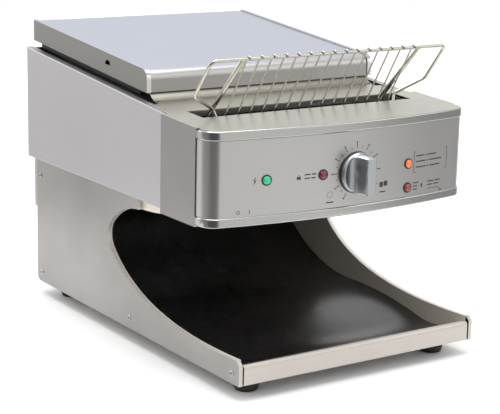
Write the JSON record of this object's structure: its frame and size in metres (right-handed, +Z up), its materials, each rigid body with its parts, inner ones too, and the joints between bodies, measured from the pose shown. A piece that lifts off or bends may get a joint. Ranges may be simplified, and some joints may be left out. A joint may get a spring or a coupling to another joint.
{
  "type": "conveyor toaster",
  "caption": "Countertop conveyor toaster with a sloping wire feed rack, a slotted control head, a lidded heating chamber and a curved toast return in an open C-shaped base.",
  "frame": {"origin": "on the supporting surface, under the middle of the object's box", "axes": "+Z up, -Y towards the person who feeds the bread, +X to that person's right"},
  "size_m": [0.436, 0.6, 0.4408],
  "materials": {
    "casing_steel": "bright rolled stainless steel sheet",
    "lid_steel": "brushed stainless steel, slightly blue",
    "inner_steel": "plain mill-finish sheet steel",
    "trim_steel": "polished stainless steel",
    "fascia_satin": "fine satin, printed with plain symbols",
    "black_chute": "glossy black non-stick coating",
    "black_liner": "heat-darkened black",
    "rack_wire": "polished stainless wire",
    "screw_steel": "plain stainless fasteners",
    "foot_rubber": "matt black rubber",
    "knob_satin": "satin silver",
    "black_plastic": "fine-textured black",
    "dark_plastic": "polished black",
    "green_lens": "translucent green",
    "dark_red_lens": "translucent dark red",
    "orange_lens": "translucent orange",
    "brown_red_lens": "translucent brown-red",
    "belt_steel": "heat-tinted stainless wire",
    "shaft_steel": "ground steel",
    "gear_steel": "oiled steel",
    "bronze": "sintered bronze",
    "heater_sheath": "oxidised heater sheath",
    "ceramic": "glazed ceramic",
    "motor_case": "grey enamel",
    "board_green": "green circuit board"
  },
  "bodies": {
    "casing": {"front_lip": "casing_steel", "rear_panel": "casing_steel", "rear_vent_cover": "casing_steel", "side_panel_left": "casing_steel", "side_panel_right": "casing_steel", "upper_side_left": "casing_steel", "upper_side_right": "casing_steel", "upper_rear_panel": "casing_steel", "head_cover": "casing_steel", "lid": "lid_steel", "base_pan": "inner_steel", "chassis_side_left": "inner_steel", "chassis_side_right": "inner_steel", "head_base": "inner_steel", "feed_guide_front": "inner_steel", "feed_guide_rear": "inner_steel", "chamber_floor": "inner_steel", "top_reflector": "inner_steel", "head_trim_top": "trim_steel", "head_trim_bottom": "trim_steel", "fascia": "fascia_satin", "toast_chute": "black_chute", "lid_liner": "black_liner", "foot_nuts": "screw_steel", "case_screws": "screw_steel", "fan_screws": "screw_steel", "motor_screws": "screw_steel", "rubber_feet": "foot_rubber", "fan_frame": "black_plastic", "power_switch": "black_plastic", "mode_switch": "black_plastic", "mains_gland": "black_plastic", "speed_control": "black_plastic", "lamp_holders": "black_plastic", "power_lamp": "green_lens", "fault_lamp": "dark_red_lens", "heat_lamp": "orange_lens", "saver_lamp": "brown_red_lens", "belt_chain_left": "belt_steel", "belt_chain_right": "belt_steel", "belt_rods": "belt_steel", "shaft_bushes": "bronze", "top_heaters": "heater_sheath", "bottom_heaters": "heater_sheath", "heater_insulators": "ceramic", "gearmotor": "motor_case", "control_board": "board_green"},
    "front_drive": {"front_shaft": "shaft_steel", "front_wheels": "shaft_steel", "drive_gear": "gear_steel"},
    "rear_drive": {"rear_shaft": "shaft_steel", "rear_wheels": "shaft_steel"},
    "pinion": {"motor_pinion": "gear_steel"},
    "knob": {"speed_knob": "knob_satin", "knob_shaft": "shaft_steel"},
    "rocker": {"power_rocker": "dark_plastic"},
    "button": {"mode_button": "dark_plastic"},
    "fan": {"fan_impeller": "black_plastic"},
    "rack": {"rack_frame": "rack_wire", "rack_wires": "rack_wire"}
  },
  "joints": [
    {"name": "conveyor_front_spin", "type": "hinge", "parent": "casing", "child": "front_drive", "pos_m": [0, -0.15, 0.262], "axis": [1, 0, 0], "continuous": true},
    {"name": "conveyor_rear_spin", "type": "hinge", "parent": "casing", "child": "rear_drive", "pos_m": [0, 0.205, 0.2955], "axis": [1, 0, 0], "continuous": true},
    {"name": "motor_pinion_spin", "type": "hinge", "parent": "casing", "child": "pinion", "pos_m": [0.2, -0.19, 0.262], "axis": [1, 0, 0], "continuous": true},
    {"name": "speed_knob_turn", "type": "hinge", "parent": "casing", "child": "knob", "pos_m": [0.007, -0.27, 0.28], "axis": [0, 1, 0], "range_deg": [-135, 135]},
    {"name": "power_rocker_tip", "type": "hinge", "parent": "casing", "child": "rocker", "pos_m": [-0.15, -0.198, 0.225], "axis": [0, 1, 0], "range_deg": [-16, 0]},
    {"name": "mode_button_press", "type": "slide", "parent": "casing", "child": "button", "axis": [0, 0, 1], "range_m": [0, 0.003], "stiffness_N_per_m": 250, "springref_m": -0.002},
    {"name": "fan_spin", "type": "hinge", "parent": "casing", "child": "fan", "pos_m": [-0.11, 0.27, 0.074], "axis": [0, 1, 0], "continuous": true},
    {"name": "rack_lift", "type": "slide", "parent": "casing", "child": "rack", "axis": [0, -0.518, 0.8554], "range_m": [0, 0.12]}
  ],
  "couplings": [
    {"joint": "conveyor_rear_spin", "follows": "conveyor_front_spin", "ratio": 1},
    {"joint": "motor_pinion_spin", "follows": "conveyor_front_spin", "ratio": -3}
  ]
}
